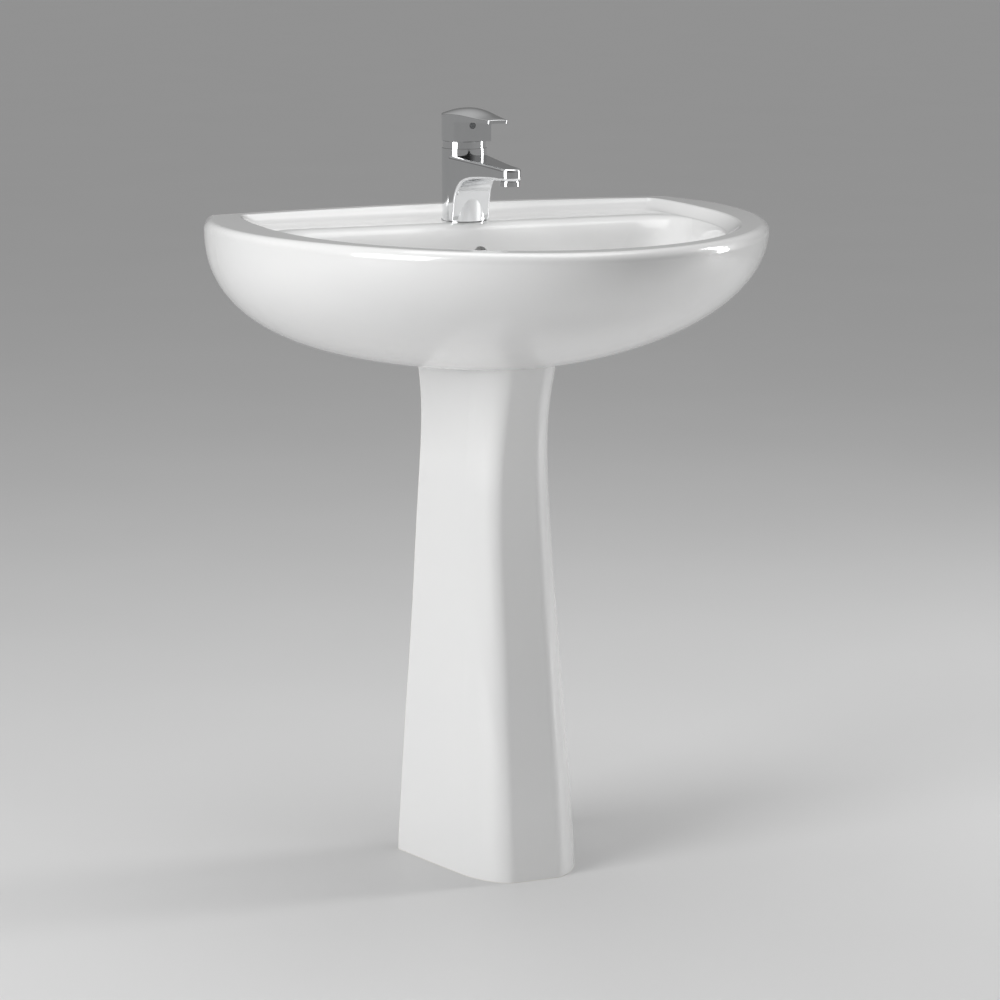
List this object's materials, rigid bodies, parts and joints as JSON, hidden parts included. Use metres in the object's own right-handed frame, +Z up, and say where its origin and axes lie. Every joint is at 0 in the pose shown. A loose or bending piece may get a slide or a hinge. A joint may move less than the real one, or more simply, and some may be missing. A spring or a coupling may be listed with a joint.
{
  "type": "pedestal sink",
  "caption": "Pedestal wash basin in glazed ceramic with a single-lever mixer tap, a press plug and a bottle trap inside the pedestal.",
  "frame": {"origin": "centre of the overall box, at floor level", "axes": "+Z up, -Y towards the room (front of the basin), +Y into the wall, +X to the right as seen from the room"},
  "size_m": [0.704, 0.597, 0.9583],
  "materials": {
    "glazed_ceramic": "white gloss glaze",
    "chrome": "bright polished",
    "trap_plastic": "white moulded",
    "brass": "turned",
    "steel": "zinc plated",
    "rubber": "matt black",
    "grey_plastic": "moulded",
    "disc_ceramic": "lapped",
    "sleeve_plastic": "moulded"
  },
  "bodies": {
    "base": {"basin": "glazed_ceramic", "pedestal": "glazed_ceramic", "pedestal_gasket": "rubber", "tap_body": "chrome", "tap_base_seal": "rubber", "tap_stud": "brass", "tap_clamp_seal": "rubber", "tap_clamp_plate": "steel", "tap_clamp_nut": "brass", "cartridge_housing": "grey_plastic", "cartridge_fixed_disc": "disc_ceramic", "cartridge_seals": "rubber", "cartridge_nut": "brass", "cartridge_dome": "chrome", "aerator_shell": "chrome", "aerator_insert": "grey_plastic", "aerator_washer": "rubber", "waste_body": "chrome", "waste_top_seal": "rubber", "waste_bottom_seal": "rubber", "waste_washer": "grey_plastic", "waste_backnut": "brass", "trap_inlet_seal": "rubber", "trap_inlet_pipe": "trap_plastic", "trap_inlet_nut": "trap_plastic", "trap_top_seal": "rubber", "trap_top_nut": "trap_plastic", "trap_body": "trap_plastic", "trap_cup": "trap_plastic", "trap_cup_seal": "rubber", "trap_outlet_pipe": "trap_plastic", "trap_outlet_seal": "rubber", "trap_outlet_nut": "trap_plastic", "wall_flange": "trap_plastic", "wall_bolt_left": "steel", "wall_bolt_sleeve_left": "sleeve_plastic", "wall_bolt_seal_left": "rubber", "wall_bolt_washer_left": "steel", "wall_bolt_nut_left": "steel", "wall_bolt_right": "steel", "wall_bolt_sleeve_right": "sleeve_plastic", "wall_bolt_seal_right": "rubber", "wall_bolt_washer_right": "steel", "wall_bolt_nut_right": "steel"},
    "mixer": {"cartridge_stem_carrier": "grey_plastic"},
    "lever": {"cartridge_stem": "steel", "lever_handle": "chrome", "lever_grub_screw": "steel", "lever_button": "grey_plastic"},
    "disc": {"cartridge_moving_disc": "disc_ceramic"},
    "plug": {"plug_cap": "chrome", "plug_seal": "rubber", "plug_spindle": "brass", "plug_spring": "steel"}
  },
  "joints": [
    {"name": "lever_turn", "type": "hinge", "parent": "base", "child": "mixer", "pos_m": [0, 0.1908, 0.89], "axis": [0, 0, 1], "range_deg": [-45, 45]},
    {"name": "lever_lift", "type": "hinge", "parent": "mixer", "child": "lever", "pos_m": [0, 0.1908, 0.89], "axis": [-1, 0, 0], "range_deg": [0, 20]},
    {"name": "disc_slide", "type": "slide", "parent": "mixer", "child": "disc", "axis": [0, -1, 0], "range_m": [0, 0.00344]},
    {"name": "plug_press", "type": "slide", "parent": "base", "child": "plug", "axis": [0, 0, 1], "range_m": [-0.0075, 0], "stiffness_N_per_m": 60, "springref_m": 0.02, "deforming": ["plug_spring"]}
  ],
  "couplings": [
    {"joint": "disc_slide", "follows": "lever_lift", "m_per_rad": 0.00985}
  ]
}
